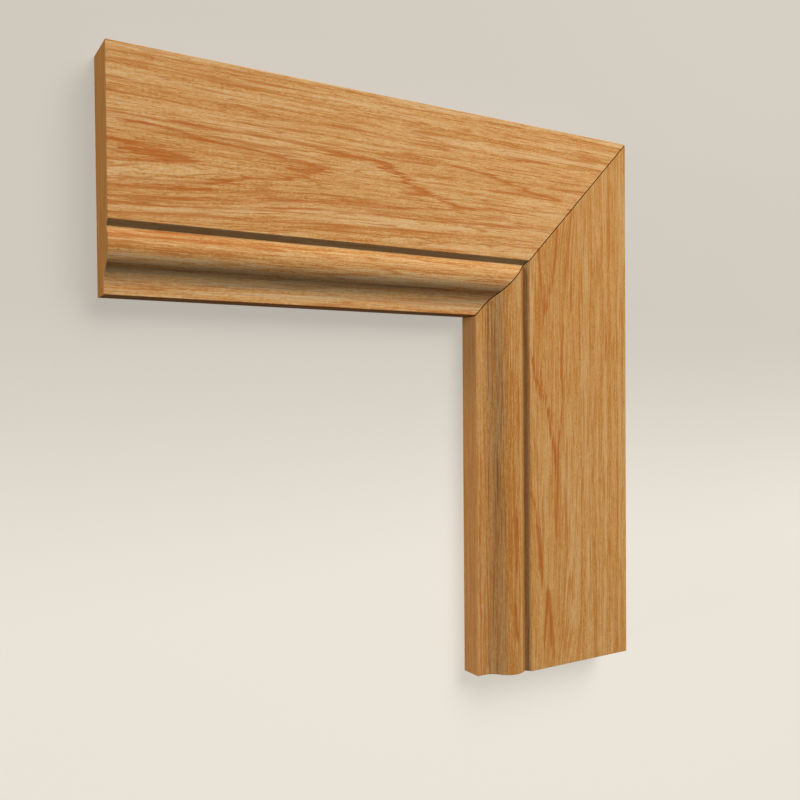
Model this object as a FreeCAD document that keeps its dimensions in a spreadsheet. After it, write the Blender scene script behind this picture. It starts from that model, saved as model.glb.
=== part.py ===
"""Mitred corner of oak architrave: a head length and a leg length of one quirked ogee section.

The corner lies on its back with the moulded face up, the head along X and the leg along Y.
The origin is in the middle of the rectangle that the two lengths span, on the plane of their backs.
"""
import FreeCAD, Part
import math
import os

import Sketcher

# Driving dimensions, in millimetres and degrees
SIZES = {
    # The stock: its overall width, and its thickness at the flat face
    "moulding_width": 100,
    "moulding_thickness": 20,
    # The two lengths along their outer edges, and the angle of the corner that they turn
    "head_length": 288,
    "leg_length": 288,
    "corner_angle": 90,
    # The ogee, from the inner edge: a flat fillet, a hollow cove and a round bead as high as the face
    "fillet_width": 4.2,
    "ogee_drop": 8.3,
    "cove_radius": 8.5,
    "bead_radius": 10.5,
    # The quirk: the sharp groove that parts the bead from the flat face
    "quirk_width": 2.4,
    "quirk_depth": 2.75,
}

# The ends of a sketch line or arc, and the axis that holds the sketch's origin
START = 1
END = 2
X_AXIS = -1

# Upwards, out of the moulded face, and the turn that lays the head along X with its mitre at +X
UP = FreeCAD.Vector(0, 0, 1)
HALF_TURN = 180


def size_sheet(doc):
    """Spreadsheet with one named cell for each driving dimension."""
    sheet = doc.addObject("Spreadsheet::Sheet", "sizes")
    for row, (name, value) in enumerate(SIZES.items(), start=1):
        sheet.set(f"A{row}", name)
        sheet.set(f"B{row}", str(value))
        sheet.setAlias(f"B{row}", name)
    doc.recompute()


def sketch_on(body, role, name):
    """Empty sketch on one of the body's own origin planes."""
    sketch = body.newObject("Sketcher::SketchObject", name)
    plane = next(item for item in body.Origin.OriginFeatures if item.Role == role)
    sketch.AttachmentSupport = [(plane, "")]
    sketch.MapMode = "FlatFace"
    return sketch


def line(sketch, start, end):
    """Straight stretch of an outline."""
    segment = Part.LineSegment(FreeCAD.Vector(*start, 0), FreeCAD.Vector(*end, 0))
    return sketch.addGeometry(segment, False)


def arc(sketch, centre, radius, first_angle, last_angle):
    """Round stretch of an outline, anticlockwise between two angles in radians."""
    circle = Part.Circle(FreeCAD.Vector(*centre, 0), UP, radius)
    return sketch.addGeometry(Part.ArcOfCircle(circle, first_angle, last_angle), False)


def hold(sketch, kind, *terms):
    """Geometric constraint, such as a shared end or a level line."""
    return sketch.addConstraint(Sketcher.Constraint(kind, *terms))


def dimension(sketch, name, expression, kind, *terms):
    """Named dimension that follows an expression of the sheet's cells."""
    index = hold(sketch, kind, *terms)
    sketch.renameConstraint(index, name)
    sketch.setExpression(f"Constraints.{name}", expression)


def section_sketch(body):
    """Quirked ogee section, square to the length: X from outer to inner edge, Y from back to face."""
    width = SIZES["moulding_width"]
    thickness = SIZES["moulding_thickness"]
    cove_radius = SIZES["cove_radius"]
    bead_radius = SIZES["bead_radius"]
    fillet_start = width - SIZES["fillet_width"]
    fillet_height = thickness - SIZES["ogee_drop"]
    quirk_height = thickness - SIZES["quirk_depth"]

    # The bead and the cove touch on the line between their centres
    cove_centre_height = fillet_height + cove_radius
    bead_centre_height = thickness - bead_radius
    touch_angle = math.asin((cove_centre_height - bead_centre_height) / (bead_radius + cove_radius))
    bead_centre_place = fillet_start - (bead_radius + cove_radius) * math.cos(touch_angle)
    quirk_angle = math.pi - math.asin((quirk_height - bead_centre_height) / bead_radius)
    quirk_foot = bead_centre_place + bead_radius * math.cos(quirk_angle)
    face_width = quirk_foot - SIZES["quirk_width"]

    sketch = sketch_on(body, "YZ_Plane", f"{body.Name}_section")
    back = line(sketch, (0, 0), (width, 0))
    inner_edge = line(sketch, (width, 0), (width, fillet_height))
    fillet = line(sketch, (width, fillet_height), (fillet_start, fillet_height))
    cove_centre = (fillet_start, cove_centre_height)
    cove = arc(sketch, cove_centre, cove_radius, math.pi + touch_angle, 1.5 * math.pi)
    bead_centre = (bead_centre_place, bead_centre_height)
    bead = arc(sketch, bead_centre, bead_radius, touch_angle, quirk_angle)
    quirk_wall = line(sketch, (quirk_foot, quirk_height), (face_width, thickness))
    face = line(sketch, (face_width, thickness), (0, thickness))
    outer_edge = line(sketch, (0, thickness), (0, 0))

    # The outline closes on itself and starts at the outer corner of the back
    hold(sketch, "Coincident", back, START, X_AXIS, START)
    hold(sketch, "Coincident", back, END, inner_edge, START)
    hold(sketch, "Coincident", inner_edge, END, fillet, START)
    hold(sketch, "Tangent", fillet, END, cove, END)
    hold(sketch, "Tangent", cove, START, bead, START)
    hold(sketch, "Coincident", bead, END, quirk_wall, START)
    hold(sketch, "Coincident", quirk_wall, END, face, START)
    hold(sketch, "Coincident", face, END, outer_edge, START)
    hold(sketch, "Coincident", outer_edge, END, back, START)
    for level in (back, fillet, face):
        hold(sketch, "Horizontal", level)
    for upright in (inner_edge, outer_edge):
        hold(sketch, "Vertical", upright)
    # The crown of the bead is flush with the flat face
    hold(sketch, "Tangent", face, bead)

    dimension(sketch, "width", "sizes.moulding_width", "DistanceX", back, START, back, END, width)
    dimension(sketch, "thickness", "sizes.moulding_thickness", "DistanceY", back, START, face, END, thickness)
    dimension(sketch, "fillet_width", "sizes.fillet_width", "DistanceX",
              fillet, END, fillet, START, SIZES["fillet_width"])
    dimension(sketch, "ogee_drop", "sizes.ogee_drop", "DistanceY",
              fillet, START, face, END, SIZES["ogee_drop"])
    dimension(sketch, "cove_radius", "sizes.cove_radius", "Radius", cove, cove_radius)
    dimension(sketch, "bead_radius", "sizes.bead_radius", "Radius", bead, bead_radius)
    dimension(sketch, "quirk_width", "sizes.quirk_width", "DistanceX",
              face, START, bead, END, SIZES["quirk_width"])
    dimension(sketch, "quirk_depth", "sizes.quirk_depth", "DistanceY",
              bead, END, face, START, SIZES["quirk_depth"])
    return sketch


def mitre_sketch(body, toward):
    """Waste beyond the mitre: a triangle that reaches one moulding width past each edge of the stock."""
    width = SIZES["moulding_width"]
    run = width / math.tan(math.radians(SIZES["corner_angle"] / 2))
    outer = (-toward * run, -width)
    inner = (toward * 2 * run, 2 * width)
    waste = (outer[0], inner[1])

    sketch = sketch_on(body, "XY_Plane", f"{body.Name}_mitre_waste")
    mitre = line(sketch, outer, inner)
    past_edge = line(sketch, inner, waste)
    past_end = line(sketch, waste, outer)
    hold(sketch, "Coincident", mitre, END, past_edge, START)
    hold(sketch, "Coincident", past_edge, END, past_end, START)
    hold(sketch, "Coincident", past_end, END, mitre, START)
    hold(sketch, "Horizontal", past_edge)
    hold(sketch, "Vertical", past_end)
    # The mitre passes through the outer corner and halves the corner's angle
    hold(sketch, "PointOnObject", X_AXIS, START, mitre)
    dimension(sketch, "past_outer_edge", "sizes.moulding_width", "DistanceY",
              mitre, START, X_AXIS, START, width)
    dimension(sketch, "past_inner_edge", "2 * sizes.moulding_width", "DistanceY",
              X_AXIS, START, mitre, END, 2 * width)
    run_ends = (X_AXIS, START, mitre, END) if toward > 0 else (mitre, END, X_AXIS, START)
    dimension(sketch, "mitre_run", "2 * sizes.moulding_width / tan(sizes.corner_angle / 2)", "DistanceX",
              *run_ends, 2 * run)
    return sketch


def mitred_length(doc, label, length, toward):
    """Length of moulding from the corner along its own X, toward +1 or -1, with a mitre at the corner."""
    body = doc.addObject("PartDesign::Body", label)
    stock = body.newObject("PartDesign::Pad", f"{label}_stock")
    stock.Profile = section_sketch(body)
    stock.Reversed = toward < 0
    stock.setExpression("Length", f"sizes.{length}")
    doc.recompute()

    mitre = body.newObject("PartDesign::Pocket", f"{label}_mitre")
    mitre.Profile = mitre_sketch(body, toward)
    mitre.Type = "ThroughAll"
    mitre.Reversed = True
    doc.recompute()
    if mitre.Shape.Volume >= stock.Shape.Volume:
        raise RuntimeError(f"the mitre of {label} cut nothing away")
    return body


def lay_out(body, turn):
    """Put the length's mitre at the outer corner, turned about Z by an expression in degrees."""
    body.Placement = FreeCAD.Placement(FreeCAD.Vector(), FreeCAD.Rotation(UP, HALF_TURN))
    body.setExpression("Placement.Base.x", "sizes.head_length / 2")
    body.setExpression("Placement.Base.y", "sizes.leg_length / 2")
    body.setExpression("Placement.Rotation.Angle", turn)


def check(doc, bodies):
    """Stop before anything is written if an object failed or a solid isn't sound."""
    for item in doc.Objects:
        if "Invalid" in item.State or "Error" in item.State:
            raise RuntimeError(f"{item.Label} could not be built")
    for body in bodies:
        if body.Shape.isNull() or not body.Shape.isValid():
            raise RuntimeError(f"{body.Label} is not a sound solid")


document = FreeCAD.newDocument("architrave_corner")
size_sheet(document)
head = mitred_length(document, "architrave_head", "head_length", 1)
leg = mitred_length(document, "architrave_leg", "leg_length", -1)
lay_out(head, str(HALF_TURN))
lay_out(leg, "sizes.corner_angle")
document.recompute()
check(document, (head, leg))

os.makedirs("parts", exist_ok=True)
for piece in (head, leg):
    piece.Shape.exportStep(f"parts/{piece.Label}.step")
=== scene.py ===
"""Mitred corner of oak architrave: the finish of its head and its leg, and a pale stage to see them on.

Everything is in metres, in the part's own frame: the corner lies on its back with the moulded face up,
the head along X and the leg along Y. Only the grain is counted in millimetres of the board.
"""
import math
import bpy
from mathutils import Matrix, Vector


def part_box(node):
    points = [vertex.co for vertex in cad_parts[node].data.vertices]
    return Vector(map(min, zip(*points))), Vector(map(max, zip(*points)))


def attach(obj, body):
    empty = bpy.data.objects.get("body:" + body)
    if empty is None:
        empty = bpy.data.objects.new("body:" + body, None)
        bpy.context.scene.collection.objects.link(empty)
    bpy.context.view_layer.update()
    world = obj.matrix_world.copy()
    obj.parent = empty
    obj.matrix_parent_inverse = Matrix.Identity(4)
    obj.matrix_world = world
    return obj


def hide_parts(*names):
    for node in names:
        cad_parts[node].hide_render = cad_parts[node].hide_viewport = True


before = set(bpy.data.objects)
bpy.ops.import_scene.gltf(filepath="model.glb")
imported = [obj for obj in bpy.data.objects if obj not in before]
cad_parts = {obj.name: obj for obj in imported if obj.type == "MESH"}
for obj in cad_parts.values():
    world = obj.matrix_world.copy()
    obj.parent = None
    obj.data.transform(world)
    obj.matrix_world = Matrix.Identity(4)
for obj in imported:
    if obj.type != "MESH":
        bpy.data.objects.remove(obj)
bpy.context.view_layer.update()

from types import SimpleNamespace
from typing import NamedTuple

import bpy
import numpy as np
from bpy.props import FloatProperty, FloatVectorProperty, PointerProperty
from bpy.types import Operator, Panel, PropertyGroup
from mathutils import Vector

bl_info = {
    "name": "Oak architrave corner",
    "version": (1, 0, 0),
    "blender": (4, 5, 0),
    "location": "3D View > Sidebar > Architrave",
    "description": "Builds the two mitred oak lengths of an architrave corner and a pale stage for them",
    "category": "Object",
}

MM = 0.001
STOCK_LOW, STOCK_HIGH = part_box("architrave_head")

# How finely the section and the length are divided
ARRIS_STEPS = 6
BEAD_STEPS = 40
COVE_STEPS = 24
FACE_STEPS = 24
FILLET_STEPS = 2
LENGTH_STEPS = 64
# Turn between two faces past which the edge they share is sharp
SHARP_TURN = math.radians(20)

# The finishes of a length, in the order of its material slots
ALONG, ACROSS, JOINT = range(3)

# Growth lines that draw the flames on each length. The first number says to which side the early
# wood fades out of the line: 1 towards the inner edge, -1 towards the outer edge, 0 neither. Each point is in
# millimetres: along from the square end, across from the outer edge, and half the line's thickness there,
# which is 0 where the line sinks out of the face.
HEAD_LINES = (
    (0, ((-9, 28.3, 0.6), (50, 28.5, 0.6), (85, 29, 0.6), (105, 30.3, 0.7), (127, 32, 1.2), (134, 35, 1.5),
         (142, 38.5, 1.7), (146, 41.5, 1.6), (158, 43.5, 1.2), (162, 45.5, 0.8), (172, 47, 0.7),
         (180, 48.2, 0.7), (196, 47, 0.6), (214, 46.5, 0.5), (220, 46.4, 0))),
    (-1, ((16, 74.4, 0), (20, 74.3, 0.7), (46, 73.4, 0.7), (50, 73.3, 0), (99, 52, 0), (103, 52, 0.7),
          (135, 52, 0.7), (150, 51, 0.6), (162, 50, 0.6), (176, 48.3, 0.5), (180, 48, 0))),
    (-1, ((32, 52, 0), (36, 51.8, 0.8), (52, 49.5, 0.8), (62, 47.5, 0.8), (78, 45.5, 0.9), (86, 43.5, 0.9),
          (92, 41, 0.9), (98, 39, 0.9), (101, 38.8, 0), (136, 44.6, 0), (140, 44.5, 0.8), (158, 43.8, 0.8),
          (161, 43.7, 0), (194, 37, 0), (198, 37, 0.7), (213, 37.2, 0.7), (238, 37.4, 0.7), (242, 37.4, 0))),
    (1, ((4, 30.9, 0), (8, 31, 0.8), (22, 31.2, 0.9), (37, 33.5, 0.9), (55, 34.8, 0.9), (65, 35.5, 0.9),
         (80, 36.5, 0.9), (90, 38, 0.9), (98, 38.5, 0.9), (101, 38.7, 0), (126, 29.5, 0), (130, 29.5, 0.6),
         (158, 29, 0.6), (162, 28.9, 0), (167, 28, 0), (171, 28, 0.9), (185, 29, 0.9), (195, 30, 1.0),
         (200, 31.8, 1.0), (207, 32.8, 0.9), (222, 35.2, 0.8), (238, 36.6, 0.8), (242, 36.8, 0))),
    (1, ((-9, 38.6, 0.9), (12, 39.5, 0.9), (20, 41, 0.9), (28, 41.5, 0.9), (37, 42.6, 0.9), (40, 42.8, 0),
         (78, 41, 0), (82, 41, 1.2), (97, 39.2, 1.1), (100, 39, 0), (203, 35, 0), (207, 35, 0.9),
         (237, 36.4, 0.7), (240, 36.5, 0), (241, 41.6, 0), (243, 41.5, 0.8), (252, 40, 0.8))),
    (-1, ((-9, 47.5, 0.9), (10, 46, 0.9), (20, 45, 0.9), (30, 43.6, 0.9), (37, 42.8, 0.9), (40, 42.7, 0),
          (41, 51.7, 0), (43, 51.6, 1.0), (55, 50, 1.0), (58, 49.8, 0), (88, 18.3, 0), (92, 18.3, 0.6),
          (137, 19.9, 0.6), (141, 20, 0), (144, 20, 0), (148, 20, 0.6), (167, 20.6, 0.6), (171, 20.7, 0),
          (196, 19.6, 0), (200, 19.6, 0.6), (232, 18.8, 0.6), (236, 18.7, 0))),
    (0, ((8, 42.8, 0), (12, 42.8, 1.5), (36, 42.7, 1.5), (39, 42.7, 0), (52, 23.6, 0), (56, 23.6, 0.5),
         (78, 25.4, 0.5), (82, 25.6, 0), (92, 86, 0), (96, 86, 0.6), (122, 85, 0.6), (126, 85, 0))),
    (-1, ((-9, 58, 0.9), (18, 56.3, 0.9), (43, 54.2, 0.9), (46, 54, 0))),
    (0, ((-9, 62.5, 0.5), (25, 60, 0.5), (45, 58.5, 0.6), (60, 57.5, 0.6), (70, 56, 0.6), (85, 54.5, 0.6),
         (105, 53.5, 0.5), (130, 53, 0.4), (135, 53, 0))),
    (0, ((-9, 65, 0.6), (20, 63.5, 0.6), (45, 62, 0.6), (65, 60.5, 0.6), (78, 58.8, 0.6), (105, 57, 0.6),
         (150, 56.3, 0.5), (215, 54.5, 0.4), (220, 54.4, 0))),
    (0, ((-9, 68.5, 0.6), (25, 66.5, 0.6), (60, 65.5, 0.6), (95, 64, 0.6), (130, 62.5, 0.6), (160, 62, 0.5),
         (215, 61, 0.4), (220, 61, 0))),
    (0, ((-9, 77, 0.9), (40, 76.5, 0.9), (75, 77.5, 0.8), (80, 77.6, 0))),
)
LEG_LINES = (
    (0, ((-9, 52, 0.5), (10, 50.5, 0.5), (18, 49, 0.5), (28, 48, 0.5), (45, 47, 0.5), (60, 45.5, 0.5),
         (90, 45.3, 0.5), (124, 45, 0.4), (128, 45, 0), (129, 49.3, 0), (133, 49.2, 0.7), (150, 48.2, 0.7),
         (168, 48.6, 0.8), (184, 47.5, 0.7), (188, 47.4, 0), (199, 46.4, 0), (203, 46.2, 0.6), (225, 44, 0.6),
         (248, 41, 0.6))),
    (1, ((10, 55.6, 0), (14, 56, 1.2), (24, 57, 1.3), (35, 57.8, 1.3), (43, 59, 1.1), (45, 59.4, 0),
         (46, 62.4, 0), (48, 62.6, 0.9), (57, 63.2, 0.9), (70, 64.5, 0.9), (78, 66, 0.9), (88, 68.2, 0.9),
         (95, 70.5, 0.9), (98, 71, 0), (187, 61.8, 0), (189, 61.2, 0.6), (197, 58.5, 0.8), (204, 56.2, 0.9),
         (212, 54.2, 1.0), (225, 52.6, 1.0), (238, 51.6, 0.9))),
    (-1, ((13, 61.9, 0), (16, 61.5, 1.0), (25, 60.5, 1.2), (34, 59.5, 1.2), (43, 59.2, 1.1), (45, 59.2, 0),
          (68, 53.3, 0), (71, 53.2, 0.8), (85, 52.6, 0.8), (112, 51.5, 0.8), (128, 50, 0.8), (131, 49.8, 0),
          (187, 61.6, 0), (189, 61.6, 0.5), (205, 63, 0.7), (226, 64.6, 0.8), (230, 64.7, 0))),
    (0, ((-2, 55, 0), (2, 55, 0.8), (16, 55, 0.8), (19, 55, 0), (20, 80.2, 0), (22, 80.3, 0.9), (36, 81, 0.9),
         (39, 81, 0), (50, 64.4, 0), (54, 64.5, 1.3), (76, 65.2, 1.3), (79, 65.3, 0), (106, 53.3, 0),
         (110, 53.5, 1.2), (123, 55, 1.2), (127, 56.6, 0.8), (137, 57.4, 1.3), (143, 60, 1.3),
         (147, 62.4, 1.3), (153, 64.8, 1.2), (158, 67.2, 1.1), (172, 69.5, 0.8), (175, 70, 0),
         (188, 60.9, 0), (191, 60.8, 0.8), (202, 60.2, 0.8), (205, 60, 0))),
    (0, ((10, 92.3, 0), (14, 92.4, 0.5), (48, 92.6, 0.5), (51, 92.6, 0), (52, 80.8, 0), (55, 80.8, 0.9),
         (86, 80.4, 0.9), (89, 80.4, 0), (128, 56, 0), (132, 56, 0.8), (144, 56, 0.8), (147, 56, 0),
         (148, 63.4, 0), (150, 63.4, 0.5), (161, 63.8, 0.5), (163, 63.9, 0), (165, 15.6, 0), (168, 15.6, 0.6),
         (188, 15.4, 0.6), (191, 15.4, 0), (193, 42.4, 0), (196, 42.2, 0.6), (220, 41, 0.6),
         (245, 39.3, 0.6))),
    (0, ((55, 62.5, 0), (58, 62.5, 0.5), (90, 62.5, 0.5), (94, 62.5, 0))),
    (0, ((-9, 97.5, 0.6), (60, 98, 0.6), (126, 97.2, 0.6), (130, 97.2, 0))),
)


class BoardFigure(NamedTuple):
    """Board that a length was cut from, with distances in millimetres and tints as shares

    lines: the growth lines that draw its flames
    heart_across, heart_below: the heart of the tree, from the outer edge and below the back
    place: how far along the tree the board starts
    golden, depth: how far the whole board is warmed and deepened, depth also setting how dark the leg's
    painted shade is
    dust, quirk_shade, cove_shade: how much dust the moulding holds, and how much painted shade darkens the
    quirk and the cove
    lean_across, lean: where across the streaks lean most with the flames, and how far at points along
    """
    lines: tuple
    heart_across: float
    heart_below: float
    place: float
    golden: float
    depth: float
    dust: float
    quirk_shade: float
    cove_shade: float
    lean_across: float
    lean: tuple


HEAD_BOARD = BoardFigure(
    lines=HEAD_LINES, heart_across=42, heart_below=60, place=0, golden=0.0, depth=0.0,
    dust=0.36, quirk_shade=0.64, cove_shade=0.28, lean_across=59,
    lean=((-20, 9), (0, 8), (40, 5.5), (70, 2.5), (105, 0), (300, -2)))
# The leg's board is cut further along the tree, and is a shade warmer and deeper
LEG_BOARD = BoardFigure(
    lines=LEG_LINES, heart_across=58, heart_below=60, place=420, golden=0.14, depth=0.185,
    dust=0.08, quirk_shade=0.3, cove_shade=0.34, lean_across=47,
    lean=((-20, 8), (0, 6), (18, 3.5), (45, 1.5), (60, 0.5), (190, 0), (220, -1.5), (248, -5)))


def linear(red, green, blue):
    """Scene-linear colour of a screen colour counted from 0 to 255, by the sRGB curve."""
    screen = np.array((red, green, blue)) / 255
    light = np.where(screen <= 0.04045, screen / 12.92, ((screen + 0.055) / 1.055) ** 2.4)
    return tuple(float(value) for value in light)


def length_property(name, description, default):
    """Size in metres that a user may change."""
    return FloatProperty(name=name, description=description, default=default, min=0, unit="LENGTH",
                         precision=5)


def colour_property(name, description, screen_colour):
    """Colour that a user may change, given as a screen colour."""
    return FloatVectorProperty(name=name, description=description, default=linear(*screen_colour),
                               min=0, max=1, size=3, subtype="COLOR")


def place_property(name, description, default):
    """Point in the part's frame that a user may move."""
    return FloatVectorProperty(name=name, description=description, default=default, subtype="TRANSLATION",
                               unit="LENGTH", precision=5)


def angle_property(name, description, degrees):
    """Angle that a user may change."""
    return FloatProperty(name=name, description=description, default=math.radians(degrees), min=0,
                         subtype="ANGLE")


def number_property(name, description, default):
    """Plain number that a user may change."""
    return FloatProperty(name=name, description=description, default=default, min=0)


class ArchitraveSizes(PropertyGroup):
    """Section of the moulding, and how crisply it is cut"""
    width: length_property("Width", "From the outer edge to the inner edge", STOCK_HIGH.y - STOCK_LOW.y)
    thickness: length_property("Thickness", "From the back to the flat face", STOCK_HIGH.z - STOCK_LOW.z)
    fillet_width: length_property("Fillet width", "Flat strip along the inner edge", 4.2 * MM)
    ogee_drop: length_property("Ogee drop", "From the flat face down to the fillet", 8.3 * MM)
    cove_radius: length_property("Cove radius", "Hollow beside the fillet", 8.5 * MM)
    bead_radius: length_property("Bead radius", "Round beside the quirk", 10.5 * MM)
    quirk_width: length_property("Quirk width", "Sloping wall of the groove beside the bead", 2.4 * MM)
    quirk_depth: length_property("Quirk depth", "From the flat face to the foot of the groove", 2.75 * MM)
    arris: length_property("Arris", "Radius that sanding leaves on the long edges", 0.3 * MM)
    cut_edge: length_property("Cut edge", "Chamfer that sanding leaves around the sawn ends", 0.15 * MM)
    joint_gap: length_property("Joint gap", "Each length's share of the hairline along the mitre", 0.25 * MM)
    joint_depth: length_property("Joint depth", "How far the hairline sinks past the cut edge", 0.8 * MM)


class OakFinish(PropertyGroup):
    """Colours of the oiled oak"""
    pale_oak: colour_property("Pale oak", "Palest streaks of the late wood", (217, 177, 126))
    honey_oak: colour_property("Honey oak", "Ground colour under the satin oil", (205, 153, 91))
    amber_oak: colour_property("Amber oak", "Darker streaks of the ground", (182, 114, 52))
    flame_oak: colour_property("Flame oak", "Early wood that draws the flames", (179, 100, 39))
    pore_brown: colour_property("Pore brown", "Open pores", (142, 98, 50))
    dusty_oak: colour_property("Dusty oak", "Greyer streaks from the bead to the inner edge", (160, 147, 118))
    # Painted shade: this grey darkens the quirk's wall, the cove and the inner edge beside the mitre
    shade_grey: colour_property("Wax grey", "Wax that gathers in quirk, cove and corner", (112, 117, 96))
    golden_oak: colour_property("Golden oak", "Warms the leg's board", (202, 148, 34))
    # Deepens the leg's board, and also paints shade on its quirk, the bead's first rise, the cove and the
    # inner edge beside the mitre
    deep_oak_and_shade: colour_property("Deep oak", "Deepens the leg's board", (122, 66, 20))
    edge_oak: colour_property("Edge oak", "Tints the planed edges", (215, 143, 80))
    end_oak: colour_property("End oak", "Sawn ends", (176, 114, 38))
    joint_brown: colour_property("Joint brown", "Hairline along the mitre", (74, 46, 22))


class StageSettings(PropertyGroup):
    """Floor, lamps and camera"""
    near_floor: colour_property("Near floor", "Floor at the foot of the leg", (238, 231, 219))
    far_floor: colour_property("Far floor", "Floor beyond the head", (209, 203, 192))
    key_place: place_property("Key place", "Where the soft key shines from", (0.8, 1.6, 1.6))
    key_strength: number_property("Key strength", "Strength of the key", 2.82)
    key_spread: angle_property("Key spread", "Angle that the key spans", 40)
    fill_place: place_property("Fill place", "Where the weak fill shines from", (-2.0, 0.0, 0.21))
    fill_strength: number_property("Fill strength", "Strength of the fill", 1.6)
    fill_spread: angle_property("Fill spread", "Angle that the fill spans", 8)
    accent_place: place_property("Accent place", "Where the accent hangs", (0.32, 0.45, 0.62))
    accent_power: number_property("Accent power", "Power of the accent in watts", 2.25)
    accent_size: length_property("Accent size", "Width of the accent", 0.5)
    sky_strength: number_property("Sky strength", "Even light from all round", 0.09)
    camera_place: place_property("Camera place", "Where the camera stands", (-0.22114, -0.00106, 0.35848))
    camera_turn: FloatVectorProperty(
        name="Camera turn", description="Camera's turns about X, Y and Z", subtype="EULER",
        default=tuple(math.radians(turn) for turn in (-0.78, -29.813, -0.59)))
    camera_lens: number_property("Camera lens", "Focal length in millimetres", 37.545)
    camera_shift: FloatVectorProperty(
        name="Camera shift", description="Shift of the frame in frame widths", size=2,
        default=(0.04375, 0.02375))


def arc_points(centre, radius, first, last, steps):
    """Arc in the plane of the section: centre plus radius times (cos a, sin a), a even from first to last."""
    angle = np.linspace(first, last, steps + 1)
    return np.stack((centre[0] + radius * np.cos(angle), centre[1] + radius * np.sin(angle)), axis=1)


def even_points(start, end, steps):
    """Straight stretch in the plane of the section: start plus an even share of the way to end."""
    return np.linspace(start, end, steps + 1)


def section_places(sizes):
    """Where the parts of the section lie, across from the outer edge and up from the back."""
    fillet_start = sizes.width - sizes.fillet_width
    fillet_height = sizes.thickness - sizes.ogee_drop
    quirk_height = sizes.thickness - sizes.quirk_depth

    # The bead and the cove touch on the line between their centres
    cove_height = fillet_height + sizes.cove_radius
    bead_height = sizes.thickness - sizes.bead_radius
    reach = sizes.bead_radius + sizes.cove_radius
    touch_angle = math.asin((cove_height - bead_height) / reach)
    bead_place = fillet_start - reach * math.cos(touch_angle)
    foot_angle = math.pi - math.asin((quirk_height - bead_height) / sizes.bead_radius)
    quirk_foot = bead_place + sizes.bead_radius * math.cos(foot_angle)
    return SimpleNamespace(
        width=sizes.width, face_level=sizes.thickness, face_end=quirk_foot - sizes.quirk_width,
        quirk_foot=quirk_foot, foot_angle=foot_angle, bead_centre=(bead_place, bead_height),
        touch_angle=touch_angle, touch_place=bead_place + sizes.bead_radius * math.cos(touch_angle),
        cove_centre=(fillet_start, cove_height), fillet_start=fillet_start, fillet_height=fillet_height)


def moulded_outline(sizes):
    """Face of the moulding from outer to inner edge, as (across, up) points.

    An eased outer arris, the flat face, the eased lip and the sloping wall of the quirk, the bead's arc with
    its crown level with the face, the cove's arc touching it, the flat fillet and the eased inner arris.
    """
    ease = sizes.arris
    at = section_places(sizes)

    # The lip of the quirk turns from the face down its wall
    wall_fall = math.atan2(sizes.quirk_depth, sizes.quirk_width)
    lip_start = at.face_end - ease * math.tan(wall_fall / 2)

    quarter = math.pi / 2
    fillet_end = sizes.width - 2 * ease
    stretches = (
        arc_points((ease, at.face_level - ease), ease, math.pi, quarter, ARRIS_STEPS),
        even_points((2 * ease, at.face_level), (lip_start - ease, at.face_level), FACE_STEPS),
        arc_points((lip_start, at.face_level - ease), ease, quarter, quarter - wall_fall, ARRIS_STEPS),
        arc_points(at.bead_centre, sizes.bead_radius, at.foot_angle, at.touch_angle, BEAD_STEPS),
        arc_points(at.cove_centre, sizes.cove_radius, math.pi + at.touch_angle, 3 * quarter, COVE_STEPS)[1:],
        even_points((at.fillet_start + ease, at.fillet_height), (fillet_end, at.fillet_height), FILLET_STEPS),
        arc_points((sizes.width - ease, at.fillet_height - ease), ease, quarter, 0, ARRIS_STEPS),
    )
    return np.concatenate(stretches)


def back_outline(across, sizes):
    """Back of the moulding under the face's own points: level, but eased up a quarter round at both edges."""
    from_edge = np.minimum(across, sizes.width - across)
    into_arris = np.clip(sizes.arris - from_edge, 0, sizes.arris)
    up = sizes.arris - np.sqrt(sizes.arris ** 2 - into_arris ** 2)
    return np.stack((across, up), axis=1)


def drawn_in(outline, amount):
    """Closed outline moved inwards by amount, square to its run at each point."""
    run = np.roll(outline, -1, axis=0) - np.roll(outline, 1, axis=0)
    run /= np.linalg.norm(run, axis=1, keepdims=True)
    inward = np.stack((run[:, 1], -run[:, 0]), axis=1)
    return outline + amount * inward


def sunk_in(outline, depth, width):
    """Closed outline with its face sunk by depth and squeezed in as far at both edges, and its back left."""
    half = len(outline) // 2
    sunk = outline.copy()
    before = (0, 2 * depth, width - 2 * depth, width)
    after = (depth, 2 * depth, width - 2 * depth, width - depth)
    sunk[:half, 0] = np.interp(outline[:half, 0], before, after)
    sunk[:half, 1] -= depth
    return sunk


def swept_rings(outline, length, sizes):
    """The outline carried from the square end to the mitre, as (ring, point, along-across-up).

    A ring at share f of the way lies at f times the length less the point's distance across, so that the
    first ring is square to the length and the last ones lie along the 45 degree mitre. At the square end the
    outline is drawn in by the cut edge, which leaves a fine chamfer around the saw cut. At the mitre it stops
    short by the joint gap, is drawn in as well, with its face sunk by the joint depth, and then meets the
    mitre, so that a hairline shows the joint.
    """
    share = np.concatenate(([0, 0], np.linspace(0, 1, LENGTH_STEPS + 1)[1:-1], [1, 1, 1]))
    step = np.zeros_like(share)
    step[1] = sizes.cut_edge
    step[-3:-1] = -math.sqrt(2) * sizes.joint_gap
    rings = np.broadcast_to(outline, (len(share), *outline.shape)).copy()
    rings[0] = drawn_in(outline, sizes.cut_edge)
    rings[-2] = rings[-1] = sunk_in(rings[0], sizes.joint_depth, sizes.width)
    across = rings[..., 0]
    along = share[:, None] * (length - across) + step[:, None]
    return np.stack((along, across, rings[..., 1]), axis=-1)


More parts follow.
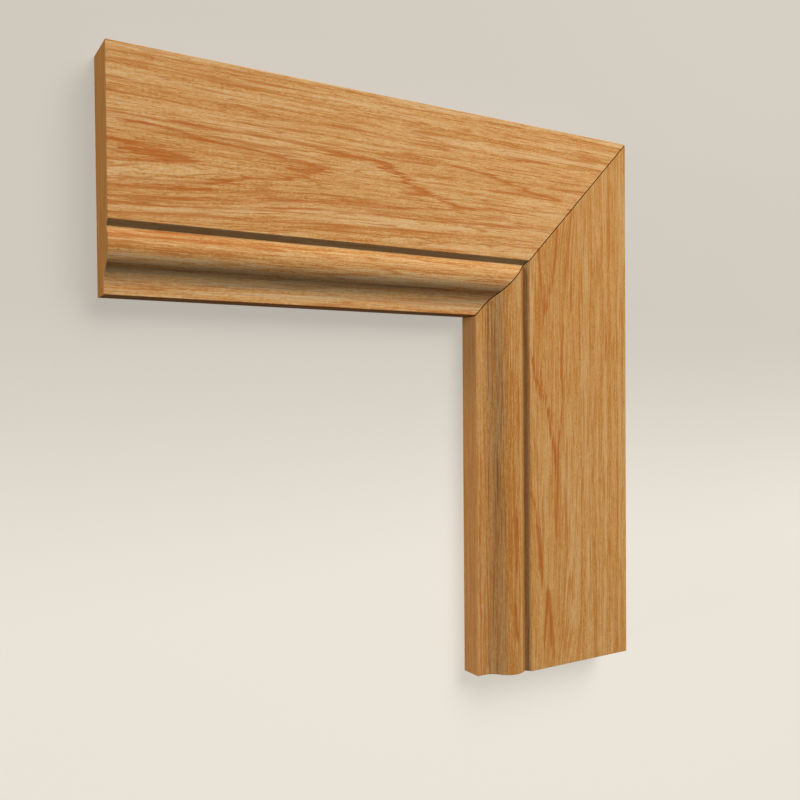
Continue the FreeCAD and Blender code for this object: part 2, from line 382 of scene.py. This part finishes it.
def swept_faces(ring_count, point_count):
    """Quads between neighbouring rings, then quads from face to back across each end.

    The points of a ring run along the face and return along the back, so the point under point k is the
    one as far from the ring's end.
    """
    ring, point = np.meshgrid(np.arange(ring_count - 1), np.arange(point_count), indexing="ij")
    onward = (point + 1) % point_count
    sides = np.stack((ring * point_count + point, ring * point_count + onward,
                      (ring + 1) * point_count + onward, (ring + 1) * point_count + point), axis=-1)
    face = np.arange(point_count // 2 - 1)
    under = point_count - 1 - face
    square_end = np.stack((face, under, under - 1, face + 1), axis=-1)
    mitre = square_end[:, ::-1] + (ring_count - 1) * point_count
    return sides.reshape(-1, 4), np.concatenate((square_end, mitre))


def finish_of_faces(side_count, end_count, point_count):
    """Number of each face's finish: joint line in the hairline, across the grain at the ends, or along it."""
    finish = np.full(side_count + end_count, ALONG, np.int32)
    finish[side_count - 2 * point_count:side_count] = JOINT
    finish[side_count:] = ACROSS
    return finish


def add_vectors(mesh, name, vectors):
    """Vector of each vertex, kept in the mesh for the oak to read."""
    layer = mesh.attributes.new(name, "FLOAT_VECTOR", "POINT")
    layer.data.foreach_set("vector", np.ascontiguousarray(vectors, dtype=np.float32).ravel())


def add_length(scene, name, node, start, along, across, board):
    """Mitred length: start plus along, across and up times the swept rings' three distances."""
    sizes = scene.architrave_sizes
    low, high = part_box(node)
    length = float(np.abs(np.dot(np.array(high - low), along)))
    face = moulded_outline(sizes)
    outline = np.concatenate((face, back_outline(face[:, 0], sizes)[::-1]))
    rings = swept_rings(outline, length, sizes)
    sides, ends = swept_faces(*rings.shape[:2])

    directions = np.array((along, across, (0, 0, 1)), float)
    points = np.array(start) + rings.reshape(-1, 3) @ directions
    faces = np.concatenate((sides, ends))
    if np.linalg.det(directions) > 0:
        faces = faces[:, ::-1]

    mesh = bpy.data.meshes.new(name)
    mesh.from_pydata(points, [], faces)
    add_vectors(mesh, "grain", rings.reshape(-1, 3) / MM)
    look = scene.oak_finish
    mesh.materials.append(oak_along_the_grain(name, look, board, section_places(sizes), length))
    mesh.materials.append(oak_across_the_grain(name, look, board))
    mesh.materials.append(joint_line(name, look))
    mesh.polygons.foreach_set("material_index", finish_of_faces(len(sides), len(ends), len(outline)))
    mesh.shade_smooth()
    mesh.set_sharp_from_angle(angle=SHARP_TURN)
    mesh.update()
    if mesh.validate():
        raise RuntimeError(f"the surface of {name} has faults")

    piece = bpy.data.objects.new(name, mesh)
    scene.collection.objects.link(piece)
    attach(piece, "root")
    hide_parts(node)


class Field:
    """Number that varies over a surface. Arithmetic with it adds Math nodes to its sheet."""

    def __init__(self, sheet, socket):
        self.sheet = sheet
        self.socket = socket

    def __add__(self, other):
        return self.sheet.math("ADD", self, other)

    def __sub__(self, other):
        return self.sheet.math("SUBTRACT", self, other)

    def __rsub__(self, other):
        return self.sheet.math("SUBTRACT", other, self)

    def __mul__(self, other):
        return self.sheet.math("MULTIPLY", self, other)

    def __truediv__(self, other):
        return self.sheet.math("DIVIDE", self, other)

    __radd__ = __add__


class NodeSheet:
    """Node sheet of one material or sky, with a short method for each kind of node that the finishes use."""

    def __init__(self, owner):
        self.owner = owner
        self.owner.use_nodes = True
        self.tree = self.owner.node_tree
        self.tree.nodes.clear()

    def node(self, kind, **settings):
        """New node with its settings."""
        made = self.tree.nodes.new(kind)
        for key, value in settings.items():
            setattr(made, key, value)
        return made

    def feed(self, socket, value):
        """Link a field or a socket into a socket, or set a plain value on it."""
        if isinstance(value, Field):
            value = value.socket
        if isinstance(value, bpy.types.NodeSocket):
            self.tree.links.new(value, socket)
        else:
            socket.default_value = value

    def math(self, operation, *terms):
        """One Math node."""
        made = self.node("ShaderNodeMath", operation=operation)
        for socket, term in zip(made.inputs, terms):
            self.feed(socket, term)
        return Field(self, made.outputs[0])

    def vector(self, name):
        """Vector that the mesh keeps under this name."""
        return self.node("ShaderNodeAttribute", attribute_name=name).outputs["Vector"]

    def split(self, vector):
        """Three parts of a vector as fields."""
        made = self.node("ShaderNodeSeparateXYZ")
        self.feed(made.inputs[0], vector)
        return tuple(Field(self, socket) for socket in made.outputs)

    def join(self, first, second, third):
        """Vector of three fields."""
        made = self.node("ShaderNodeCombineXYZ")
        for socket, part in zip(made.inputs, (first, second, third)):
            self.feed(socket, part)
        return made.outputs[0]

    def noise(self, vector, spacing, detail):
        """Smooth noise from about -0.5 to 0.5, whose waves are as long as spacing along each part."""
        shrunk = self.node("ShaderNodeVectorMath", operation="DIVIDE")
        self.feed(shrunk.inputs[0], vector)
        self.feed(shrunk.inputs[1], spacing)
        made = self.node("ShaderNodeTexNoise")
        self.feed(made.inputs["Vector"], shrunk.outputs[0])
        self.feed(made.inputs["Scale"], 1.0)
        self.feed(made.inputs["Detail"], detail)
        return Field(self, made.outputs["Fac"]) - 0.5

    def rise(self, field, low, high):
        """Smooth step from 0 at low to 1 at high, or down to 0 where high is below low."""
        made = self.node("ShaderNodeMapRange", interpolation_type="SMOOTHSTEP")
        ends = (low, high, 0.0, 1.0) if low < high else (high, low, 1.0, 0.0)
        for socket, value in zip(made.inputs, (field, *ends)):
            self.feed(socket, value)
        return Field(self, made.outputs[0])

    def curve(self, share, points, handle):
        """Curve through (share, value) points, both about 0 to 1, level beyond its ends."""
        made = self.node("ShaderNodeFloatCurve")
        made.mapping.extend = "HORIZONTAL"
        made.mapping.use_clip = False
        line = made.mapping.curves[0]
        line.points[0].location = points[0]
        line.points[1].location = points[-1]
        for point in points[1:-1]:
            line.points.new(*point)
        for point in line.points:
            point.handle_type = handle
        made.mapping.update()
        self.feed(made.inputs["Value"], share)
        return Field(self, made.outputs[0])

    def blend(self, share, first, second):
        """Colour between two colours."""
        made = self.node("ShaderNodeMix", data_type="RGBA")
        self.feed(made.inputs[0], share)
        for socket, colour in ((made.inputs[6], first), (made.inputs[7], second)):
            self.feed(socket, colour if isinstance(colour, bpy.types.NodeSocket) else (*colour, 1))
        return made.outputs[2]

    def finish(self, **inputs):
        """Principled surface with these inputs."""
        surface = self.node("ShaderNodeBsdfPrincipled")
        for name, value in inputs.items():
            self.feed(surface.inputs[name.replace("_", " ")], value)
        output = self.node("ShaderNodeOutputMaterial")
        self.feed(output.inputs["Surface"], surface.outputs[0])
        return self.owner

    def bump(self, height, strength, distance):
        """Normal of a fine relief."""
        made = self.node("ShaderNodeBump")
        self.feed(made.inputs["Height"], height)
        self.feed(made.inputs["Strength"], strength)
        self.feed(made.inputs["Distance"], distance)
        return made.outputs[0]


class Wave(NamedTuple):
    """Noise of the grain: the length of its waves along and across, in millimetres, and its detail"""
    along: float
    across: float
    detail: float


# Slow waves that bend the rings and the growth lines, and shade whole stretches of the board
RING_BEND = Wave(90, 24, 2)
LINE_BEND = Wave(26, 3.5, 2)
CLOUD = Wave(140, 7, 2)
# Streaks along the grain, from long to short
STREAK = Wave(70, 1.3, 3)
THREAD = Wave(45, 0.8, 1)
DASH = Wave(20, 0.7, 2)
FINE = Wave(9, 0.4, 1)
FLECK = Wave(3.5, 0.7, 1)
SPECK = Wave(1.4, 0.5, 0)
# Thin amber veins, and what breaks them up
LONG_VEIN = Wave(85, 3.4, 1)
SHORT_VEIN = Wave(50, 1.8, 1)
VEIN_BREAK = Wave(30, 1.5, 1)
# Open pores, cut along and across
PORE = Wave(3.5, 0.3, 1)
END_PORE = Wave(6, 0.35, 2)
# Marks of the saw on the ends: the length of their waves along, across and up, and their detail
SAW_SPACING = (20, 40, 0.9)
SAW_DETAIL = 2

# Stretch that the drawn curves run over, in millimetres along and across, and the heaviest line
CURVE_START = -20.0
CURVE_REACH = 320.0
CURVE_ACROSS = 100.0
CURVE_WEIGHT = 2.0
# Thickness of a growth ring, and how far slow noise bends it
RING_STEP = 2.8
RING_SWAY = 4.0
# How far the growth lines move along for each millimetre below the face, are feathered along, bent across and
# frayed, and how far early wood fades on their soft side
LINE_TILT = 1.5
LINE_FEATHER = 30.0
LINE_SWAY = 2.0
LINE_FRAY = 1.6
SOFT_SIDE = 5.5
# How far to each side the streaks lean with the flames
LEAN_REACH = 20.0
# Heights above the back between which the colours of the moulded face set in
MOULDED_FROM = 2.0
MOULDED_TO = 8.0
# Distances from the mitre between which painted shade sets in on the inner edge
CORNER_FROM = 62.0
CORNER_TO = 14.0
# How strongly the finer marks are drawn, and how deep they are cut
VEIN_STRENGTH = 0.85
PORE_STRENGTH = 0.5
EDGE_STRENGTH = 0.5
END_RING_STRENGTH = 0.4
RELIEF_DEPTH = 0.1 * MM
# Added to the thickness of a line, so that nothing is divided by 0
LEAST_REACH = 0.01


class Board:
    """Places in the board that a length was cut from, as fields in millimetres, and the noise of its grain.

    Rings lie round the heart: their radius is the distance from it, bent a little by slow noise. Streaks run
    along the board and lean across with the flames.
    """

    def __init__(self, sheet, figure):
        self.sheet = sheet
        self.along, self.across, self.up = sheet.split(sheet.vector("grain"))
        aside = sheet.math("ABSOLUTE", self.across - figure.lean_across)
        lean = self.drawn(self.along, figure.lean) * sheet.rise(aside, LEAN_REACH, 0.0)
        level = self.across - lean
        self.spot = sheet.join(self.along + figure.place, level, self.up)
        beside_heart = level - figure.heart_across
        above_heart = self.up + figure.heart_below
        from_heart = sheet.math("SQRT", beside_heart * beside_heart + above_heart * above_heart)
        self.radius = from_heart + self.noise(RING_BEND) * RING_SWAY
        self.streak = self.noise(STREAK)
        self.dash = self.noise(DASH)
        self.fleck = self.noise(FLECK)
        self.fine = self.noise(FINE)

    def noise(self, wave):
        """Noise drawn out along the grain."""
        return self.sheet.noise(self.spot, (wave.along, wave.across, wave.across), wave.detail)

    def veins(self, wave, thin):
        """Thin lines that wander along the grain: 1 where slow noise crosses 0, and 0 a little beside it."""
        return self.sheet.rise(self.sheet.math("ABSOLUTE", self.noise(wave)), thin, 0.0)

    def past(self, place, low, high):
        """Smooth step over the distance across, from low to high millimetres past a place of the section."""
        return self.sheet.rise(self.across, place / MM + low, place / MM + high)

    def drawn(self, along, points, scale=CURVE_ACROSS, handle="AUTO_CLAMPED"):
        """Distance across, or another value up to scale, as a curve drawn through (along, value) points."""
        places = [((place - CURVE_START) / CURVE_REACH, value / scale) for place, value in points]
        return self.sheet.curve((along - CURVE_START) / CURVE_REACH, places, handle) * scale


def growth_lines(sheet, board, lines, face_level):
    """How strongly early wood shows at each point, from the listed lines.

    A line is a smooth curve of across against along: 1 on the curve, 0 at its full thickness beside it, and
    fading slowly on its soft side. Slow noise bends the lines, and streaky noise feathers them along the
    grain. Below the face the lines move along the board, as the rings slope.
    """
    along = board.along + (face_level - board.up) * LINE_TILT + board.dash * LINE_FEATHER
    across = board.across + board.noise(LINE_BEND) * LINE_SWAY + board.fine * LINE_FRAY
    total = None
    for fades, points in lines:
        middle = board.drawn(along, [(place, aside) for place, aside, half in points])
        weight = board.drawn(along, [(place, half) for place, aside, half in points], CURVE_WEIGHT, "VECTOR")
        beside = across - middle
        reach = sheet.math("ABSOLUTE", beside) / (weight * 2.0 + LEAST_REACH)
        shade = sheet.rise(reach, 1.0, 0.0) * (weight * 0.5 + 0.45)
        if fades:
            inside = beside * fades
            soft = sheet.rise(inside, SOFT_SIDE, 0.0) * sheet.rise(inside, -0.6, 0.3) * weight * 0.45
            shade = sheet.math("MAXIMUM", shade, soft)
        total = shade if total is None else sheet.math("MAXIMUM", total, shade)
    return total


def flames(sheet, board, lines, face_level):
    """Growth lines broken up along the grain into flames."""
    drawn = growth_lines(sheet, board, lines, face_level)
    ragged = sheet.rise(drawn + board.dash * 0.9 + board.fleck * 0.5, 0.1, 1.0)
    return ragged * (sheet.rise(board.fine + board.dash * 0.5, -0.2, 0.12) * 0.45 + 0.55)


def early_wood(sheet, turns, start, drop):
    """Early wood of each ring: rising from a start, as a share of the ring, and dropping at its end."""
    phase = sheet.math("FRACT", turns)
    return sheet.rise(phase, start, 0.9) * sheet.rise(phase, 1.0, drop)


def moulding_zones(sheet, board, at, length):
    """Shares from 0 to 1 that say which part of the moulding a point lies on.

    groove: the sloping wall of the quirk
    bead, brow: all that lies past the quirk, and the first rise of the bead
    hollow: the cove
    dusty: from the fall of the bead to the inner edge
    inside: all but the planed edges
    corner: the inner edge beside the mitre
    """
    moulded = sheet.rise(board.up, MOULDED_FROM, MOULDED_TO)
    bead = moulded * board.past(at.quirk_foot, -0.1, 0.4)
    dusty = moulded * board.past(at.touch_place, -7, -2)
    from_edge = sheet.math("MINIMUM", board.across, at.width / MM - board.across)
    to_mitre = length / MM - (board.along + board.across)
    return SimpleNamespace(
        groove=moulded * board.past(at.face_end, -0.2, 0.6) * board.past(at.quirk_foot, 0.4, -0.1),
        bead=bead,
        brow=bead * board.past(at.quirk_foot, 3.6, 1.4),
        hollow=moulded * board.past(at.touch_place, -4, 0) * board.past(at.fillet_start, 0, -4),
        dusty=dusty * sheet.rise(board.across, at.width / MM + 1, at.fillet_start / MM),
        inside=sheet.rise(from_edge, 0.05, 0.25),
        corner=sheet.rise(to_mitre, CORNER_FROM, CORNER_TO) * board.past(at.width, -0.25, -0.05))


def ground_colour(sheet, board, look, early, thread):
    """Honey ground with pale and amber streaks by the sum of the waves, and thin amber veins."""
    tone = board.noise(CLOUD) * 0.5 + board.streak * 0.65 + board.dash * 0.5 + board.fleck * 0.5
    tone = tone + board.fine * 0.5 + board.noise(SPECK) * 0.5
    tone = tone - (early - 0.4) * 0.16 - (thread - 0.2) * 0.26
    vein = sheet.math("MAXIMUM", board.veins(LONG_VEIN, 0.05), board.veins(SHORT_VEIN, 0.04))
    vein = vein * sheet.rise(board.noise(VEIN_BREAK), -0.15, 0.15)
    colour = sheet.blend(sheet.rise(tone, -0.05, 0.36), look.honey_oak, look.pale_oak)
    colour = sheet.blend(sheet.rise(tone, 0.05, -0.38), colour, look.amber_oak)
    return sheet.blend(vein * VEIN_STRENGTH, colour, look.amber_oak)


def oak_along_the_grain(name, look, figure, at, length):
    """Oak planed along the grain: honey ground with long streaks, flames of early wood, and open pores.

    The grain is most open where the cove is cut across the rings. The planed edges are redder, dust gathers
    in the moulding, and painted shade darkens the quirk, the cove and the inside corner.
    """
    sheet = NodeSheet(bpy.data.materials.new(f"oak_along_{name}"))
    board = Board(sheet, figure)
    zone = moulding_zones(sheet, board, at, length)
    flame = flames(sheet, board, figure.lines, at.face_level / MM)
    early = early_wood(sheet, board.radius / RING_STEP + board.dash * 0.5, 0.2, 0.92)
    thread = sheet.rise(board.noise(THREAD), 0.06, 0.2)
    stripe = sheet.rise(board.streak + board.dash * 0.6, -0.2, 0.2)
    open_grain = early * 0.5 + flame * 0.3 + zone.hollow * 0.7 + 0.3
    pores = sheet.rise(board.noise(PORE), 0.06, 0.2) * open_grain

    colour = ground_colour(sheet, board, look, early, thread)
    if figure.golden:
        colour = sheet.blend(figure.golden, colour, look.golden_oak)
    colour = sheet.blend(flame, colour, look.flame_oak)
    colour = sheet.blend(pores * PORE_STRENGTH, colour, look.pore_brown)
    colour = sheet.blend(zone.dusty * stripe * figure.dust, colour, look.dusty_oak)
    colour = sheet.blend((1.0 - zone.inside) * EDGE_STRENGTH, colour, look.edge_oak)
    # Painted shade in grey: on the quirk's wall, in the cove streaked along the grain, and on the inner edge
    # beside the mitre
    cove_shade = zone.hollow * (stripe * 0.6 + thread * 0.8 + 0.1) * figure.cove_shade
    painted_shade = zone.groove * figure.quirk_shade + cove_shade + zone.corner * 0.2
    colour = sheet.blend(painted_shade, colour, look.shade_grey)
    if figure.depth:
        # The leg's whole board is deepened, more past the quirk, and painted shade deepens it further on the
        # quirk's wall, the bead's first rise, the cove and the inner edge beside the mitre
        deep = zone.groove * 0.5 + zone.bead * 0.5 + zone.brow * 1.6 + 1.0
        deep = deep + zone.hollow * (thread * 1.6 + 0.15)
        deep = zone.inside * deep + zone.corner * 1.1
        colour = sheet.blend(deep * figure.depth, colour, look.deep_oak_and_shade)
    return sheet.finish(
        Base_Color=colour, Roughness=0.7 + board.fine * 0.12 + pores * 0.15, Specular_IOR_Level=0.05,
        Normal=sheet.bump(board.fine * 0.4 - pores, 0.25, RELIEF_DEPTH))


def oak_across_the_grain(name, look, figure):
    """Oak sawn across the grain: ring arcs, rows of pores in the early wood, and the marks of the saw."""
    sheet = NodeSheet(bpy.data.materials.new(f"oak_across_{name}"))
    board = Board(sheet, figure)
    early = early_wood(sheet, board.radius / RING_STEP, 0.35, 0.94)
    dots = sheet.rise(board.noise(END_PORE), 0.02, 0.16) * (early * 0.8 + 0.2)
    saw = sheet.noise(board.spot, SAW_SPACING, SAW_DETAIL)
    colour = sheet.blend(sheet.rise(saw, -0.2, 0.25), look.end_oak, look.honey_oak)
    colour = sheet.blend(early * END_RING_STRENGTH, colour, look.flame_oak)
    colour = sheet.blend(dots * PORE_STRENGTH, colour, look.pore_brown)
    return sheet.finish(
        Base_Color=colour, Roughness=0.7 + dots * 0.2, Specular_IOR_Level=0.1,
        Normal=sheet.bump(saw * 0.3 - dots, 0.3, RELIEF_DEPTH))


def joint_line(name, look):
    """Dark line of glue and dust in the hairline along the mitre."""
    sheet = NodeSheet(bpy.data.materials.new(f"joint_{name}"))
    return sheet.finish(Base_Color=(*look.joint_brown, 1), Roughness=0.9, Specular_IOR_Level=0.0)


class ARCHITRAVE_OT_add_head(Operator):
    """Add the head, the length along X with its mitre at the outer corner"""
    bl_idname = "architrave.add_head"
    bl_label = "Head"

    def execute(self, context):
        low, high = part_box("architrave_head")
        add_length(context.scene, "head", "architrave_head", (low.x, high.y, low.z),
                   (1, 0, 0), (0, -1, 0), HEAD_BOARD)
        return {"FINISHED"}


class ARCHITRAVE_OT_add_leg(Operator):
    """Add the leg, the length along Y with its mitre at the outer corner"""
    bl_idname = "architrave.add_leg"
    bl_label = "Leg"

    def execute(self, context):
        low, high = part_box("architrave_leg")
        add_length(context.scene, "leg", "architrave_leg", (high.x, low.y, low.z),
                   (0, 1, 0), (-1, 0, 0), LEG_BOARD)
        return {"FINISHED"}


# The floor: half its side, where its colour changes from near to far along Y, the share of light that it
# throws back at the oak, and the share of its brightness that it gives by itself where it is looked at
FLOOR_HALF = 6.0
FLOOR_FADE_START = -0.1
FLOOR_FADE_END = 0.06
FLOOR_BOUNCE = 0.06
FLOOR_GLOW = 0.7
# Rays that see the backdrop
BACKDROP_RAYS = ("Is Camera Ray", "Is Glossy Ray", "Is Transmission Ray")
# Nearest that the camera sees
CAMERA_NEAR = 0.01


def backdrop_rays(sheet):
    """1 for a ray that sees the backdrop, straight, in a gloss or through glass, and 0 for any other."""
    path = sheet.node("ShaderNodeLightPath")
    straight, glossy, passed = (Field(sheet, path.outputs[ray]) for ray in BACKDROP_RAYS)
    return sheet.math("MAXIMUM", straight, sheet.math("MAXIMUM", glossy, passed))


def floor_finish(stage):
    """Pale matt floor that shades from near to far, and throws only a little light back at the oak.

    Where it is looked at it glows a little by itself, so that the shadow on it stays light.
    """
    sheet = NodeSheet(bpy.data.materials.new("pale_floor"))
    place = sheet.node("ShaderNodeTexCoord").outputs["Object"]
    away = sheet.split(place)[1]
    seen = sheet.blend(sheet.rise(away, FLOOR_FADE_START, FLOOR_FADE_END), stage.near_floor, stage.far_floor)
    looked_at = backdrop_rays(sheet)
    bounce = (FLOOR_BOUNCE, FLOOR_BOUNCE, FLOOR_BOUNCE)
    lit = sheet.blend(looked_at, bounce, sheet.blend(FLOOR_GLOW, seen, (0, 0, 0)))
    return sheet.finish(Base_Color=lit, Roughness=0.9, Specular_IOR_Level=0.0,
                        Emission_Color=seen, Emission_Strength=looked_at * FLOOR_GLOW)


def add_floor(scene):
    """Level square floor under the corner."""
    mesh = bpy.data.meshes.new("floor")
    side = FLOOR_HALF
    corners = [(-side, -side, 0), (side, -side, 0), (side, side, 0), (-side, side, 0)]
    mesh.from_pydata(corners, [], [(0, 1, 2, 3)])
    mesh.materials.append(floor_finish(scene.architrave_stage))
    floor = bpy.data.objects.new("floor", mesh)
    scene.collection.objects.link(floor)


def add_lamp(scene, name, kind, place, aim, **settings):
    """Lamp of a kind that stands at a place and looks at a point, out of the camera's sight."""
    lamp = bpy.data.lights.new(name, kind)
    for key, value in settings.items():
        setattr(lamp, key, value)
    item = bpy.data.objects.new(name, lamp)
    item.location = place
    item.rotation_euler = (Vector(place) - Vector(aim)).to_track_quat("Z", "Y").to_euler()
    item.visible_camera = False
    scene.collection.objects.link(item)


def add_lamps(scene, stage):
    """Soft key from beyond the head, weak fill from the head's end, and an accent over the mitre."""
    middle = (0, 0, 0)
    mitre = STOCK_HIGH
    add_lamp(scene, "key", "SUN", stage.key_place, middle,
             energy=stage.key_strength, angle=stage.key_spread)
    add_lamp(scene, "fill", "SUN", stage.fill_place, middle,
             energy=stage.fill_strength, angle=stage.fill_spread)
    add_lamp(scene, "accent", "AREA", stage.accent_place, mitre,
             energy=stage.accent_power, shape="DISK", size=stage.accent_size)


def add_sky(scene, stage):
    """Even light from all round, looked at as the far floor's colour."""
    sheet = NodeSheet(bpy.data.worlds.new("sky"))
    light = sheet.node("ShaderNodeBackground")
    sheet.feed(light.inputs["Strength"], stage.sky_strength)
    seen = sheet.node("ShaderNodeBackground")
    sheet.feed(seen.inputs["Color"], (*stage.far_floor, 1))
    choice = sheet.node("ShaderNodeMixShader")
    for socket, value in zip(choice.inputs, (backdrop_rays(sheet), light.outputs[0], seen.outputs[0])):
        sheet.feed(socket, value)
    output = sheet.node("ShaderNodeOutputWorld")
    sheet.feed(output.inputs["Surface"], choice.outputs[0])
    scene.world = sheet.owner


def add_camera(scene, stage):
    """Camera that looks down on the corner from beyond the head's end."""
    lens = bpy.data.cameras.new("camera")
    lens.lens = stage.camera_lens
    lens.shift_x, lens.shift_y = stage.camera_shift
    lens.clip_start = CAMERA_NEAR
    camera = bpy.data.objects.new("camera", lens)
    camera.location = stage.camera_place
    camera.rotation_euler = stage.camera_turn
    scene.collection.objects.link(camera)
    scene.camera = camera


class ARCHITRAVE_OT_add_stage(Operator):
    """Add the floor, the soft lamps, the sky and the camera"""
    bl_idname = "architrave.add_stage"
    bl_label = "Stage"

    def execute(self, context):
        scene = context.scene
        stage = scene.architrave_stage
        add_floor(scene)
        add_lamps(scene, stage)
        add_sky(scene, stage)
        add_camera(scene, stage)
        scene.view_settings.view_transform = "Standard"
        return {"FINISHED"}


class ARCHITRAVE_PT_corner(Panel):
    """Buttons that build the corner"""
    bl_label = "Oak Architrave Corner"
    bl_idname = "ARCHITRAVE_PT_corner"
    bl_space_type = "VIEW_3D"
    bl_region_type = "UI"
    bl_category = "Architrave"

    def draw(self, context):
        scene = context.scene
        for group in (scene.architrave_sizes, scene.oak_finish, scene.architrave_stage):
            box = self.layout.box()
            for name in group.__annotations__:
                box.prop(group, name)
        for operator in OPERATORS:
            self.layout.operator(operator.bl_idname)


OPERATORS = (ARCHITRAVE_OT_add_head, ARCHITRAVE_OT_add_leg, ARCHITRAVE_OT_add_stage)
CLASSES = (ArchitraveSizes, OakFinish, StageSettings, *OPERATORS, ARCHITRAVE_PT_corner)


def register():
    """Make the classes and the scene's settings known to Blender."""
    for item in CLASSES:
        bpy.utils.register_class(item)
    bpy.types.Scene.architrave_sizes = PointerProperty(type=ArchitraveSizes)
    bpy.types.Scene.oak_finish = PointerProperty(type=OakFinish)
    bpy.types.Scene.architrave_stage = PointerProperty(type=StageSettings)


def unregister():
    """Take the settings and the classes away again."""
    del bpy.types.Scene.architrave_stage
    del bpy.types.Scene.oak_finish
    del bpy.types.Scene.architrave_sizes
    for item in reversed(CLASSES):
        bpy.utils.unregister_class(item)


def main():
    """Build the corner and its stage."""
    register()
    bpy.ops.architrave.add_head()
    bpy.ops.architrave.add_leg()
    bpy.ops.architrave.add_stage()


if __name__ == "__main__":
    main()
